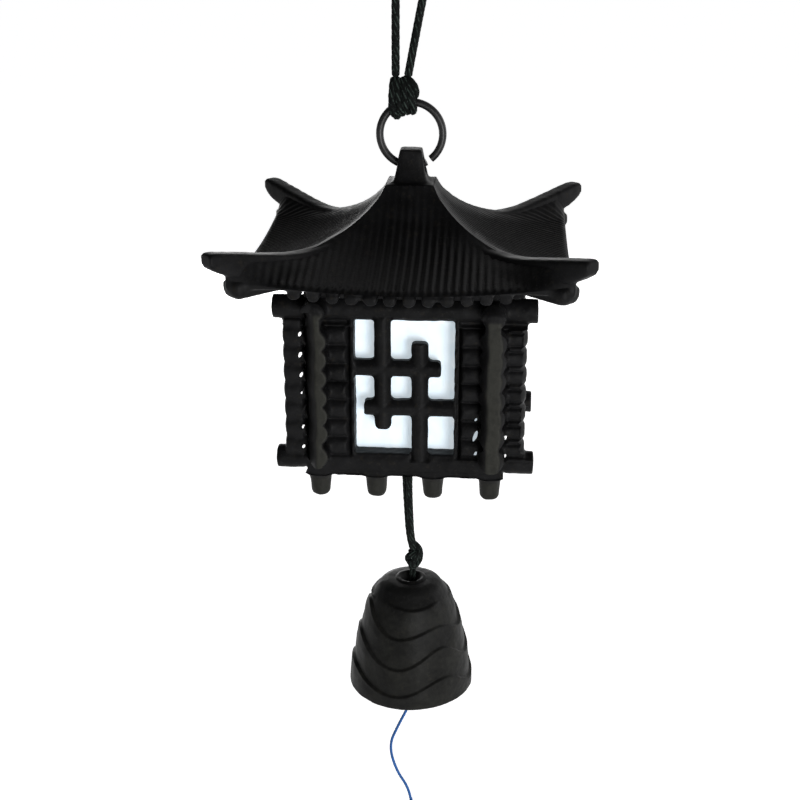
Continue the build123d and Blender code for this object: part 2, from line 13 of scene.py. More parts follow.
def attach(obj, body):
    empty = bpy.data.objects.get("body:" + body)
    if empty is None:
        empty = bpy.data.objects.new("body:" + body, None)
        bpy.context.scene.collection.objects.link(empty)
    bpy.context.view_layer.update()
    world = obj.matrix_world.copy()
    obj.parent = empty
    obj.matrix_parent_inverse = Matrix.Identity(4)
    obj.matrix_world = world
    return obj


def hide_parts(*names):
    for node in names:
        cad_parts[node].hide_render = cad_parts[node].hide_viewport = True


bl_info = {
    "name": "Iron wind bell",
    "version": (1, 0, 0),
    "blender": (4, 5, 0),
    "location": "View3D > Sidebar > Wind bell",
    "description": "Dresses the packed wind bell with cast iron, cord and paper",
    "category": "Object",
}

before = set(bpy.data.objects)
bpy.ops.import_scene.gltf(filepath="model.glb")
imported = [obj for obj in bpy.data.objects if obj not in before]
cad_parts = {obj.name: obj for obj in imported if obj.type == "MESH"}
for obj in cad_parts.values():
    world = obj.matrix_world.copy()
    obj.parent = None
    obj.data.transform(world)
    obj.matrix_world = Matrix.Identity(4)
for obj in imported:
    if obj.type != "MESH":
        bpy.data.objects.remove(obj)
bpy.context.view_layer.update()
MM = 0.001
SIDES = ("front", "right", "back", "left")

# Levels in millimetres, from the hook downwards
HITCH_TOP = -26.4
RING_CENTRE = -41.7
PLATFORM = -55.0
FLOOR_TOP = PLATFORM - 78.2
FLOOR_UNDER = PLATFORM - 81.6
KNOT_FOOT = PLATFORM - 125.1
CROWN = PLATFORM - 128.7
STOPPER_TOP = CROWN - 3.7
THREAD_TOP = -214.3
STRIP_TOP = PLATFORM - 219.0
STAGE_LEVEL = -395.0


# Shader expressions

class Value:
    """A socket that takes part in Python sums: each operator adds a Math node to its tree."""

    def __init__(self, sheet, socket):
        self.sheet = sheet
        self.socket = socket

    def combine(self, operation, *others):
        """A Math node of this value and the others."""
        values = dict(enumerate((self, *others)))
        return self.sheet.add("ShaderNodeMath", {"operation": operation}, values)

    def __add__(self, other):
        return self.combine("ADD", other)

    __radd__ = __add__

    def __mul__(self, other):
        return self.combine("MULTIPLY", other)

    __rmul__ = __mul__

    def steps(self, low, high, first=0.0, last=1.0):
        """The first number below low, the last one above high and smooth between."""
        ends = {"From Min": low, "From Max": high, "To Min": first, "To Max": last}
        settings = {"interpolation_type": "SMOOTHSTEP"}
        return self.sheet.add("ShaderNodeMapRange", settings, {"Value": self, **ends})


class Sheet:
    """The node tree of a new material or world."""

    def __init__(self, owner):
        self.owner = owner
        owner.use_nodes = True
        self.tree = owner.node_tree
        self.tree.nodes.clear()

    def add(self, kind, settings, values, output=0):
        """Adds a node, fills its settings and sockets, and returns an output."""
        node = self.tree.nodes.new(kind)
        for key, setting in settings.items():
            setattr(node, key, setting)
        for key, value in values.items():
            socket = node.inputs[key]
            if isinstance(value, Value):
                self.tree.links.new(value.socket, socket)
            elif socket.type == "RGBA":
                socket.default_value = (*value, 1.0)
            else:
                socket.default_value = value
        return Value(self, node.outputs[output])

    def read(self, kind, output):
        """An output of a node that takes nothing in."""
        return self.add(kind, {}, {}, output)

    def place(self):
        """Object coordinates in metres."""
        return self.read("ShaderNodeTexCoord", "Object")

    def noise(self, vector, scale, detail=3.0, rough=0.55):
        """Even noise around one half."""
        values = {"Vector": vector, "Scale": scale, "Detail": detail, "Roughness": rough}
        return self.add("ShaderNodeTexNoise", {}, values)

    def mix(self, factor, first, second):
        """Two colours mixed by a factor."""
        values = {0: factor, 6: first, 7: second}
        return self.add("ShaderNodeMix", {"data_type": "RGBA"}, values, 2)

    def bump(self, height, distance, strength):
        """A bumped normal from a height."""
        values = {"Height": height, "Distance": distance, "Strength": strength}
        return self.add("ShaderNodeBump", {}, values)

    def surface(self, **values):
        """A Principled surface as the material's output."""
        values = {key.replace("_", " "): value for key, value in values.items()}
        return self.output(self.add("ShaderNodeBsdfPrincipled", {}, values))

    def output(self, shader, kind="Material"):
        """Links a shader to the output and returns the tree's owner."""
        node = self.tree.nodes.new(f"ShaderNodeOutput{kind}")
        self.tree.links.new(shader.socket, node.inputs["Surface"])
        return self.owner


def tint(colour, *factors):
    """A colour with its channels multiplied, all by one factor or each by its own."""
    factors = factors * 3 if len(factors) == 1 else factors
    return tuple(c * f for c, f in zip(colour, factors))


# Meshes

def ease(t):
    """Smooth step of a share between 0 and 1."""
    return t * t * (3 - 2 * t)


def quarter_turn(turn):
    """Matrix that carries rows of points from the front to the side of that number."""
    c, s = round(math.cos(turn * math.pi / 2)), round(math.sin(turn * math.pi / 2))
    return np.array([[c, s, 0], [-s, c, 0], [0, 0, 1]], float)


def read_rows(mesh, field):
    """A vector of every vertex, such as co or normal, as rows of three."""
    rows = np.zeros(len(mesh.vertices) * 3)
    mesh.vertices.foreach_get(field, rows)
    return rows.reshape(-1, 3)


def read_places(mesh):
    """The vertices' places in millimetres."""
    return read_rows(mesh, "co") / MM


def write_places(mesh, places):
    """Moves the vertices to places in millimetres."""
    mesh.vertices.foreach_set("co", (places * MM).ravel())
    mesh.update()


def mark_wear_and_painted_light(mesh, worn):
    """Stores how far each vertex is paler, for the iron's finish: ground or rubbed iron, and on the
    bell partly painted light.
    """
    mesh.attributes.new("worn", "FLOAT", "POINT").data.foreach_set("value", worn)


def shade_smooth(mesh):
    """Shades every face smooth."""
    mesh.polygons.foreach_set("use_smooth", np.ones(len(mesh.polygons), bool))
    mesh.update()


def link(name, data):
    """An object with that data, in the scene."""
    thing = bpy.data.objects.new(name, data)
    bpy.context.scene.collection.objects.link(thing)
    return thing


def new_object(name, vertices, faces, uvs=None, merge=0.0):
    """A smooth object from vertices in millimetres, with one uv pair each; vertices closer than
    merge become one."""
    mesh = bpy.data.meshes.new(name)
    faces = faces.tolist() if isinstance(faces, np.ndarray) else faces
    mesh.from_pydata((np.asarray(vertices, float) * MM).tolist(), [], faces)
    if uvs is not None:
        layer = mesh.uv_layers.new(name="UVMap")
        loops = np.zeros(len(mesh.loops), np.int32)
        mesh.loops.foreach_get("vertex_index", loops)
        layer.data.foreach_set("uv", np.asarray(uvs, np.float32)[loops].ravel())
    work = bmesh.new()
    work.from_mesh(mesh)
    if merge > 0:
        bmesh.ops.remove_doubles(work, verts=work.verts, dist=merge * MM)
    bmesh.ops.recalc_face_normals(work, faces=work.faces)
    work.to_mesh(mesh)
    work.free()
    shade_smooth(mesh)
    return link(name, mesh)


def quads(rows, columns, close_rows=False, close_columns=False, start=0):
    """Quads of a grid of rows by columns, wrapped round where closed, counted from start."""
    r = np.arange(rows if close_rows else rows - 1)
    c = np.arange(columns if close_columns else columns - 1)
    r, c = np.meshgrid(r, c, indexing="ij")
    r1, c1 = (r + 1) % rows * columns, (c + 1) % columns
    r = r * columns
    return np.stack([r + c, r1 + c, r1 + c1, r + c1], -1).reshape(-1, 4) + start


def path_frames(path):
    """Two crossing normals along a path, turned as little as possible from ring to ring."""
    tangent = np.gradient(path, axis=0)
    tangent /= np.linalg.norm(tangent, axis=1)[:, None]
    first = np.cross(tangent[0], (0.31, 0.87, 0.39))
    normal = [first / np.linalg.norm(first)]
    for t in tangent[1:]:
        n = normal[-1] - t * (normal[-1] @ t)
        normal.append(n / np.linalg.norm(n))
    normal = np.array(normal)
    return normal, np.cross(tangent, normal)


def even_path(path, step):
    """Points spaced evenly along a path, about one step apart, and the length up to each."""
    path = np.asarray(path, float)
    along = np.concatenate([[0.0], np.cumsum(np.linalg.norm(np.diff(path, axis=0), axis=1))])
    count = max(3, int(round(along[-1] / step)) + 1)
    wanted = np.linspace(0, along[-1], count)
    return np.stack([np.interp(wanted, along, path[:, i]) for i in range(3)], -1), wanted


def spline_points(points):
    """Points read from a smooth spline of order 3 with control points in millimetres."""
    curve = bpy.data.curves.new("route", "CURVE")
    curve.dimensions = "3D"
    curve.resolution_u = 24
    spline = curve.splines.new("NURBS")
    spline.points.add(len(points) - 1)
    for point, place in zip(spline.points, points):
        point.co = (*[c * MM for c in place], 1.0)
    spline.order_u = 3
    spline.use_endpoint_u = True
    thing = link("route", curve)
    bpy.context.view_layer.update()
    mesh = bpy.data.meshes.new_from_object(thing)
    places = read_places(mesh)
    bpy.data.meshes.remove(mesh)
    bpy.data.objects.remove(thing)
    bpy.data.curves.remove(curve)
    return places


def braid(turn, along, strands, pitch):
    """Height of a round braid, from 0 to 1: two slanting sets of strands pass over each other."""
    a = strands * turn / (2 * np.pi) + along / pitch
    b = strands * turn / (2 * np.pi) - along / pitch
    over = (np.floor(a) + np.floor(b)) % 2
    across = np.where(over > 0.5, a, b) % 1.0
    length = np.where(over > 0.5, b, a) % 1.0
    return np.sqrt(np.clip(1 - (2 * across - 1) ** 2, 0, 1)) * np.sin(np.pi * length) ** 0.4


# Of a tube's diameter: step between its rings, length of a braid's repeat, length of its ends
RING_STEP = 1 / 14
BRAID_REPEAT = 1.15
END_TAPER = 0.35


def cord_tube(name, path, diameter, strands=6, pitch=0.0, sides=30, relief=0.16):
    """A braided tube along a path, thicker where a strand of the braid lies on top."""
    pitch = pitch or diameter * BRAID_REPEAT
    path, along = even_path(path, diameter * RING_STEP)
    normal, side = path_frames(path)
    turn = np.linspace(0, 2 * np.pi, sides, endpoint=False)
    lift = braid(turn, along[:, None], strands, pitch)
    taper = np.minimum(along, along[-1] - along) / (diameter * END_TAPER)
    taper = np.clip(taper, 0.25, 1.0)[:, None] ** 0.5
    radius = diameter / 2 * (1 - relief * (1 - lift)) * taper
    ring = np.cos(turn)[:, None] * normal[:, None] + np.sin(turn)[:, None] * side[:, None]
    points = path[:, None] + ring * radius[..., None]
    uvs = np.stack(np.broadcast_arrays(turn / (2 * np.pi), along[:, None] / pitch), -1)
    vertices = np.concatenate([points.reshape(-1, 3), path[[0, -1]]])
    rows, columns = points.shape[:2]
    faces = quads(rows, columns, close_columns=True).tolist()
    first = rows * columns
    start = first - columns
    for c in range(columns):
        c1 = (c + 1) % columns
        faces += [(first, c, c1), (first + 1, start + c1, start + c)]
    return new_object(name, vertices, faces, np.concatenate([uvs.reshape(-1, 2), np.zeros((2, 2))]))


def lumps(points, size, seed, count=9):
    """Soft unevenness around 0: sines across seeded directions, about size millimetres long."""
    random = np.random.default_rng(seed)
    ways = random.normal(size=(count, 3))
    ways /= np.linalg.norm(ways, axis=1)[:, None]
    ways *= 2 * np.pi / size * random.uniform(0.6, 1.5, count)[:, None]
    shifts = random.uniform(0, 2 * np.pi, count)
    return np.sin(points @ ways.T + shifts).sum(1) / math.sqrt(count)


def cast_copy(name, node, voxel, rounds, seed, wobble, blocks=(), cutter=None):
    """A cast copy of a CAD node: remeshed with filling blocks, smoothed, cut and made uneven."""
    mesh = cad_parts[node].data.copy()
    work = bmesh.new()
    work.from_mesh(mesh)
    bmesh.ops.remove_doubles(work, verts=work.verts, dist=0.002 * MM)
    for low, high in blocks:
        middle = [(a + b) / 2 * MM for a, b in zip(low, high)]
        span = [abs(b - a) * MM for a, b in zip(low, high)]
        bmesh.ops.create_cube(work, size=1.0, matrix=Matrix.LocRotScale(middle, None, span))
    work.to_mesh(mesh)
    work.free()
    thing = link(name, mesh)
    remesh = thing.modifiers.new("Cast", "REMESH")
    remesh.mode = "VOXEL"
    remesh.voxel_size = voxel * MM
    soft = thing.modifiers.new("Soften", "SMOOTH")
    soft.factor = 0.5
    soft.iterations = rounds
    if cutter is not None:
        cut = thing.modifiers.new("Cut", "BOOLEAN")
        cut.operation = "DIFFERENCE"
        cut.object = cutter
    graph = bpy.context.evaluated_depsgraph_get()
    made = bpy.data.meshes.new_from_object(thing.evaluated_get(graph))
    thing.modifiers.clear()
    thing.data = made
    bpy.data.meshes.remove(mesh)
    made.name = name
    uneven(made, wobble * np.array([0.65, 0.35]), (7.0, 2.6), seed)
    shade_smooth(made)
    return thing


def uneven(mesh, heights, lengths, seed):
    """Pushes the vertices in and out in lumps of two lengths."""
    places, normals = read_places(mesh), read_rows(mesh, "normal")
    push = sum(h * lumps(places, l, seed + i) for i, (h, l) in enumerate(zip(heights, lengths)))
    write_places(mesh, places + normals * push[:, None])


def thicken(thing, thickness):
    """Gives a sheet its thickness, half to each side."""
    solid = thing.modifiers.new("Thickness", "SOLIDIFY")
    solid.thickness = thickness * MM
    solid.offset = 0.0


def dress(thing, material, body=None, replaces=()):
    """Gives a piece its material and body, and hides the CAD nodes that it stands for."""
    thing.data.materials.clear()
    thing.data.materials.append(material)
    if body:
        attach(thing, body)
    if replaces:
        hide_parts(*replaces)
    return thing


# Finishes

def new_sheet(name):
    """The node tree of a new material."""
    return Sheet(bpy.data.materials.new(name))


def iron_material(name, colour, wear_and_painted_light_colour):
    """Black cast iron: a grainy skin with faint brown patches, paler by each vertex's stored share:
    ground log ends, the feet's lower ends, and the bell, whose paler body is partly painted light.
    """
    sheet = new_sheet(name)
    place = sheet.place()
    cloud = sheet.noise(place, 90.0, 4.0)
    fine = sheet.noise(place, 1500.0, 2.0)
    pits = sheet.noise(place, 520.0, 3.0, 0.6)
    base = sheet.mix(cloud.steps(0.35, 0.68), tint(colour, 0.62), tint(colour, 1.45))
    base = sheet.mix(pits.steps(0.56, 0.72) * 0.6, base, tint(colour, 2.4, 2.1, 1.6))
    base = sheet.mix(fine.steps(0.6, 0.72) * 0.4, base, tint(colour, 3.0))
    # Paler share: ground wear on the log ends, and on the bell painted light over rubbed patches
    wear_and_painted_light_share = sheet.add("ShaderNodeAttribute", {"attribute_name": "worn"}, {}, "Fac")
    worn = wear_and_painted_light_share * (0.7 + 0.3 * pits.steps(0.3, 0.6))
    return sheet.surface(
        Base_Color=sheet.mix(worn, base, wear_and_painted_light_colour),
        Roughness=0.34 + 0.2 * cloud + 0.08 * fine,
        Normal=sheet.bump(fine * 0.35 + pits * 0.65, 0.0002, 0.6),
        Specular_IOR_Level=0.075,
    )


def cord_material(name, colour, tick_colour, ticks):
    """Braided cord: dark strands with paler ticks on some of them, and fine fibres."""
    sheet = new_sheet(name)
    uv = {"Vector": sheet.read("ShaderNodeTexCoord", "UV")}
    u, v = [sheet.add("ShaderNodeSeparateXYZ", {}, uv, axis) for axis in "XY"]
    slant = (u * 6.0 + v) * (2 * math.pi)
    fibres = sheet.noise(sheet.place(), 5200.0, 2.0)
    patch = sheet.noise(sheet.place(), 700.0, 2.0)
    base = sheet.mix(fibres.steps(0.35, 0.7), tint(colour, 0.6), tint(colour, 1.5))
    tick = slant.combine("SINE").steps(0.2, 0.8) * patch.steps(0.42, 0.56) * ticks
    return sheet.surface(
        Base_Color=sheet.mix(tick, base, tick_colour),
        Roughness=0.72 + 0.1 * fibres,
        Normal=sheet.bump(fibres, 0.00008, 0.6),
        Specular_IOR_Level=0.1,
    )


def thread_material(name, colour):
    """Thin twisted thread in two close blues."""
    sheet = new_sheet(name)
    fibres = sheet.noise(sheet.place(), 4200.0, 2.0)
    base = sheet.mix(fibres.steps(0.35, 0.65), tint(colour, 0.75), tint(colour, 1.2))
    return sheet.surface(Base_Color=base, Roughness=0.6 + 0.1 * fibres, Specular_IOR_Level=0.3)


def paper_material(name, colour, glow):
    """Fibrous paper: cloudy pulp with long pale fibres; glow is a painted light: the paper emits
    its own colour, standing for the light that comes through.
    """
    sheet = new_sheet(name)
    place = sheet.place()
    pulp = sheet.noise(place, 420.0, 4.0)
    stretch = {"Vector": place, "Scale": (900.0, 900.0, 160.0)}
    fibre = sheet.noise(sheet.add("ShaderNodeMapping", {}, stretch), 1.0, 2.0)
    shade = pulp * 0.6 + fibre * 0.4
    base = sheet.mix(shade.steps(0.32, 0.66), tint(colour, 0.87, 0.93, 0.97), colour)
    return sheet.surface(
        Base_Color=base,
        Roughness=0.85 + 0.1 * pulp,
        Normal=sheet.bump(shade, 0.0001, 0.4),
        # Painted glow: the paper emits its own colour, as if light came through it from behind
        Specular_IOR_Level=0.2,
        Emission_Color=base,
        Emission_Strength=glow,
    )


def steel_material(name, colour, rough):
    """Plain steel wire or screw with faint drawn streaks."""
    sheet = new_sheet(name)
    streak = sheet.noise(sheet.place(), 900.0, 3.0)
    base = sheet.mix(streak.steps(0.3, 0.7), tint(colour, 0.8), tint(colour, 1.25))
    return sheet.surface(
        Base_Color=base,
        Roughness=rough + 0.15 * streak,
        Normal=sheet.bump(streak, 0.00004, 0.5),
        Specular_IOR_Level=0.3,
    )


# Settings that a user would change

def colour_setting(name, description, default):
    """A colour in the panel."""
    return bpy.props.FloatVectorProperty(
        name=name, description=description, subtype="COLOR", size=3, default=default
    )


def length_setting(name, description, default):
    """A length in the panel, in metres."""
    return bpy.props.FloatProperty(
        name=name, description=description, default=default, unit="LENGTH"
    )


class WindBellFinish(bpy.types.PropertyGroup):
    """Colours of the finishes."""

    iron: colour_setting("Iron", "Black casting skin", (0.0075, 0.0075, 0.0079))
    # Paler iron: the ground log ends, the feet's lower ends and the bell, whose paler body is
    # partly painted light
    worn: colour_setting("Worn iron", "Ground log ends", (0.037, 0.037, 0.032))
    ring: colour_setting("Ring", "Black split ring", (0.012, 0.012, 0.0125))
    screw: colour_setting("Screws", "Plain steel", (0.3, 0.3, 0.31))
    cord: colour_setting("Cord", "Green-black braid", (0.005, 0.006, 0.0056))
    tick: colour_setting("Cord ticks", "Paler ticks in the braid", (0.05, 0.07, 0.06))
    thread: colour_setting("Thread", "Blue thread", (0.03, 0.14, 0.44))
    paper: colour_setting("Paper", "Window paper", (0.82, 0.9, 0.95))
    strip: colour_setting("Strip", "Wind strip's card", (0.82, 0.83, 0.82))


class WindBellSizes(bpy.types.PropertyGroup):
    """Sizes of the dressed details."""

    rib_pitch: length_setting("Rib pitch", "Step of the roof's ribs", 0.0021)
    rib_height: length_setting("Rib height", "How far a rib stands up", 0.00045)
    wave_step: length_setting("Wave step", "How far each wave band stands out", 0.0009)
    cord_diameter: length_setting("Hanging cord", "Upper cord's thickness", 0.0024)
    strand_diameter: length_setting("Bell cord", "Lower cord's thickness", 0.0021)
    thread_diameter: length_setting("Thread", "Thread's thickness", 0.001)


def size(name):
    """A size setting in millimetres."""
    return getattr(bpy.context.scene.wind_bell_sizes, name) / MM


def material(name, make, colours, *values):
    """The material of that name, made once from finish colours and other values."""
    finish = bpy.context.scene.wind_bell_finish
    known = bpy.data.materials.get(name)
    return known or make(name, *[tuple(getattr(finish, c)) for c in colours], *values)


def plain_iron():
    """Material of all the castings."""
    return material("iron_skin", iron_material, ("iron", "worn"))


# Cords and knots

def dark_tube(name, path, diameter, body, node, **tube):
    """A tube of the dark braid that stands for a CAD node."""
    dark = material("dark_braid", cord_material, ("cord", "tick"), 0.8)
    thing = cord_tube(name, path, diameter, **tube)
    return dress(thing, dark, body, (node,))


def blue_tube(name, path, body, node, **tube):
    """A tube of the blue thread that stands for a CAD node."""
    blue = material("blue_twist", thread_material, ("thread",))
    thing = cord_tube(name, path, size("thread_diameter"), strands=3, pitch=1.4, **tube)
    return dress(thing, blue, body, (node,))


def free_cord(path, diameter):
    """Spaces the cord's path evenly and works its start, diameter and path out in metres, but keeps
    none of them.
    """
    path, along = even_path(path, 0.3)
    tuple(path[0] * MM)
    diameter * MM
    path * MM


# Middle line of the ring's wire, and each wrap of the hitch: its place on the wire and at its crest
WIRE_RADIUS = 9.0
HITCH_WRAPS = ((-5.5, -4.9), (-3.45, -3.9), (-1.35, -2.2), (0.65, -1.2))
HITCH_BIGHT = (
    (-2.0, 0.3, -25.8), (-0.3, -0.9, -26.7), (1.1, -1.5, -28.4),
    (1.4, -1.4, -30.3), (0.6, -0.6, -31.4), (0.0, 0.6, -31.0),
)
HITCH_RELIEF = 0.22


class WINDBELL_OT_hanging_cord(bpy.types.Operator):
    """Hanging cord with its loop over the hook, and the hitch that ties it to the ring"""

    bl_idname = "wind_bell.hanging_cord"
    bl_label = "Hanging cord"

    def execute(self, context):
        diameter = size("cord_diameter")
        foot = diameter / 4 - 26.6
        path = spline_points([
            (-4.4, 0, foot), (-4.4, 0, -11.5), (-4.3, 0, 1.05),
            (4.3, 0, 1.05), (1.75, 0, -11.5), (-1.0, 0, foot),
        ])
        loop = dark_tube("hanging_cord_braid", path, diameter, "hanging", "hanging_cord")
        free_cord(path, diameter)
        self.hitch(diameter)
        return {"FINISHED"}

    def hitch(self, diameter):
        """Four wraps hug the wire and rise to the strands; a bight lies across at the right."""
        routes = {}
        front, back = np.array([0.0, -1.0, 0.0]), np.array([0.0, 1.0, 0.0])
        for k, (x, crest) in enumerate(HITCH_WRAPS):
            angle = math.acos(x / WIRE_RADIUS)
            out = np.array([math.cos(angle), 0.0, math.sin(angle)])
            wire = np.array([0.0, 0.0, RING_CENTRE]) + WIRE_RADIUS * out
            top = np.array([crest, 0.0, HITCH_TOP])
            middle = 0.45 * (wire + top) + 0.1 * wire
            routes[f"wrap_{k + 1}"] = [
                top + 0.6 * back, top + 0.9 * front, middle + 2.5 * front,
                wire + 2.6 * front - 0.6 * out, wire - 2.5 * out + 1.1 * front,
                wire - 2.5 * out + 1.1 * back, wire + 2.6 * back - 0.6 * out,
                middle + 2.4 * back, top + 0.8 * back,
            ]
        routes["bight"] = HITCH_BIGHT
        for name, route in routes.items():
            path = spline_points(route)
            dark_tube(f"hitch_{name}", path, diameter, "hanging", "hitch_knot", relief=HITCH_RELIEF)


# Routes of the bell's cord: its two strands, then its knot
STRANDS = {
    "front": (
        (0.1, -0.85, -136.9), (-0.3, -0.9, -143.0), (-0.5, -0.9, -152.0), (-0.1, -0.85, -162.5),
        (0.15, -0.7, -168.0), (0.9, -0.5, -172.5), (1.5, -0.4, -174.5),
    ),
    "back": (
        (-1.1, 0.8, -136.9), (-1.7, 0.9, -143.0), (-1.8, 0.9, -150.0), (-1.1, 0.85, -162.0),
        (-0.75, 0.8, -167.5), (0.1, 0.6, -172.5), (0.9, 0.5, -174.5),
    ),
}
BELL_KNOT = {
    "right_lobe": (
        (0.2, 0.2, -171.4), (2.3, -0.5, -171.9), (3.2, -0.5, -175.0),
        (2.5, 0.2, -178.2), (1.0, 0.4, -179.6), (0.6, 0.2, -180.2),
    ),
    "left_lobe": (
        (2.2, -1.3, -174.2), (0.0, -1.9, -174.6), (-1.1, -0.9, -176.2),
        (-0.5, 0.5, -178.4), (0.5, 0.4, -179.4), (0.9, 0.1, -180.2),
    ),
    "front_turn": (
        (2.4, 0.9, -173.2), (2.9, -1.0, -173.6), (1.6, -2.4, -175.6),
        (0.1, -1.8, -178.2), (0.5, -0.3, -179.8), (1.0, 0.5, -180.0),
    ),
    "back_turn": (
        (-0.6, 0.9, -174.6), (0.6, 1.8, -175.6), (2.4, 1.5, -177.0),
        (2.0, 0.4, -179.0), (1.0, 0.0, -180.1),
    ),
}
CROWN_CORD_DIAMETER = 1.05


class WINDBELL_OT_bell_cord(bpy.types.Operator):
    """Doubled cord from the floor to the bell with its knots"""

    bl_idname = "wind_bell.bell_cord"
    bl_label = "Bell cord"

    def execute(self, context):
        diameter = size("strand_diameter")
        for name, route in STRANDS.items():
            path = spline_points(route)
            strand = dark_tube(f"bell_cord_{name}", path, diameter, "bell_line", "bell_cord")
            free_cord(path, diameter)
        for name, route in BELL_KNOT.items():
            path = spline_points(route)
            dark_tube(f"bell_knot_{name}", path, diameter, "bell_line", "bell_knot")
        self.overhand("anchor_tie", FLOOR_TOP + 2.9, 2.4, 5.2, 1.6, "lantern", "anchor_knot")
        self.overhand("stopper_tie", STOPPER_TOP - 2.4, 2.1, 4.2, 1.5, "bell", "stopper_knot")
        for name, x in (("left", 0.2), ("right", 1.2)):
            path = spline_points([
                (x, -0.3, KNOT_FOOT + 0.6), (x, -0.2, KNOT_FOOT - 1.6),
                (x - 0.3, 0.0, CROWN - 0.2), (x - 0.6, 0.0, STOPPER_TOP),
            ])
            name = f"crown_cord_{name}"
            dark_tube(name, path, CROWN_CORD_DIAMETER, "bell", "crown_cord", strands=4)
        return {"FINISHED"}

    def overhand(self, name, middle, reach, height, diameter, body, node):
        """A doubled overhand knot: a trefoil carried upright, run twice side by side."""
        t = np.linspace(0, 2 * np.pi, 500)
        for lane, (shift, grow) in enumerate(((-0.55, 1.0), (0.55, 0.9))):
            swing = reach * grow * 0.42
            x = swing * (np.sin(t) + 1.5 * np.sin(2 * t)) / 1.9
            z = (height / 2 - diameter * 0.7) * (np.cos(t) - 1.25 * np.cos(2 * t)) / 2.0
            y = reach * 0.5 * np.sin(3 * t) + shift
            path = np.stack([x, y, middle + z - z.mean()], -1)
            dark_tube(f"{name}_{lane + 1}", path, diameter, body, node)


class WINDBELL_OT_ring(bpy.types.Operator):
    """Finish of the split ring and the tie screws"""

    bl_idname = "wind_bell.ring"
    bl_label = "Ring and screws"

    def execute(self, context):
        black = material("black_wire", steel_material, ("ring",), 0.3)
        plain = material("screw_steel", steel_material, ("screw",), 0.35)
        dress(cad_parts["hanging_ring"], black)
        dress(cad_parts["tie_screws"], plain)
        return {"FINISHED"}


# Roof: half widths and drops of its slopes and of its hips' tops, below the platform

EAVE_HALF, EAVE_DROP, CORNER_LIFT = 46.0, 21.2, 3.7
SLOPE_HALF = np.array([0.146, 0.185, 0.33, 0.48, 0.65, 0.83, 1.0]) * EAVE_HALF
SLOPE_DROP = np.array([0.0, 0.17, 0.47, 0.65, 0.8, 0.905, 1.0]) * EAVE_DROP
LIFT_CENTRE = PLATFORM - EAVE_DROP + EAVE_HALF**2 / (2 * CORNER_LIFT)
HIP_HALF = np.array([0.18, 0.3, 0.4, 0.5, 0.6, 0.72, 0.86, 0.96, 1.0]) * 50.0
HIP_TOP = np.array([0.3, 0.7, 0.9, 0.99, 1.0, 0.92, 0.79, 0.7, 0.69]) * 14.2
HIP_HEAD = (7.4, 19.0)
HIP_FLOW = 9.0
SKIN_START = 6.9
SKIN_GAP = 0.05


def skin_height(half, side):
    """Height of the skin: a curve down the profile, raised sideways along a large circle."""
    order = np.polynomial.polynomial.polyfit(SLOPE_HALF[1:], SLOPE_DROP[1:], 4)
    smooth = np.polynomial.polynomial.polyval(half, order)
    steep = np.interp(half, SLOPE_HALF, SLOPE_DROP)
    share = np.clip((half - SLOPE_HALF[1]) / 3.0, 0, 1)
    middle = PLATFORM - (steep * (1 - share) + smooth * share)
    return LIFT_CENTRE - np.sqrt((LIFT_CENTRE - middle) ** 2 - side**2)


class WINDBELL_OT_roof(bpy.types.Operator):
    """Cast roof with ribs on its four slopes"""

    bl_idname = "wind_bell.roof"
    bl_label = "Roof"

    def execute(self, context):
        roof = cast_copy("roof_casting", "roof", voxel=0.62, rounds=3, seed=11, wobble=0.06)
        self.sink_hip_heads(roof.data)
        dress(roof, plain_iron(), "lantern", ("roof",))
        dress(self.ribs(), plain_iron(), "lantern")
        return {"FINISHED"}

    def sink_hip_heads(self, mesh):
        """Keeps the upper ends of the hips under the ribbed skin."""
        places = read_places(mesh)
        half, side = np.abs(places[:, :2]).max(1), np.abs(places[:, :2]).min(1)
        skin = skin_height(half, side) - SKIN_GAP
        head = (half > HIP_HEAD[0]) & (half < HIP_HEAD[1])
        places[:, 2] = np.where(head, np.minimum(places[:, 2], skin), places[:, 2])
        write_places(mesh, places)

    def ribs(self):
        """A grid on each slope: it follows the skin, flows up to the hips and swells in ribs."""
        pitch, height = size("rib_pitch"), size("rib_height")
        count = int(2 * EAVE_HALF / pitch)
        across = np.linspace(-count * pitch / 2, count * pitch / 2, count * 8 + 1)[:, None]
        down = np.linspace(0, 1, 44)
        start = np.maximum(np.abs(across), SKIN_START)
        half = start + down * (EAVE_HALF - start)
        across = np.broadcast_to(across, half.shape)
        side = np.abs(across)
        along = (half + side) / 2
        rise = PLATFORM - np.interp(along, HIP_HALF, HIP_TOP) - 0.4 - skin_height(along, along)
        near = np.clip(1 - (half - side) / math.sqrt(2) / HIP_FLOW, 0, 1)
        fade = np.clip((EAVE_HALF - half) / 3.0, 0, 1) ** 0.5
        level = skin_height(half, side) + np.clip(rise, 0, None) * ease(near) * fade
        rib = np.cos(np.pi * across / pitch) ** 2 * (1 - 0.9 * near)
        # The last stretch rolls over the eaves
        end = np.clip((1 - down) * (EAVE_HALF - start) / 1.2, 0, 1) ** 0.5
        level = level + (SKIN_GAP + height * rib) * end - 0.35 * (1 - end)
        half = half + 0.12 * (1 - end)
        grid = np.stack([across, -half, level], -1)
        points = [(grid @ quarter_turn(turn)).reshape(-1, 3) for turn in range(4)]
        faces = [quads(*half.shape, start=turn * half.size) for turn in range(4)]
        thing = new_object("roof_ribs", np.concatenate(points), np.concatenate(faces))
        normals = np.zeros(len(thing.data.polygons) * 3)
        thing.data.polygons.foreach_get("normal", normals)
        if normals[2::3].mean() < 0:
            thing.data.flip_normals()
        return thing


# House: the lattice bars' middle lines with the stretch that each spans, the logs and their ends

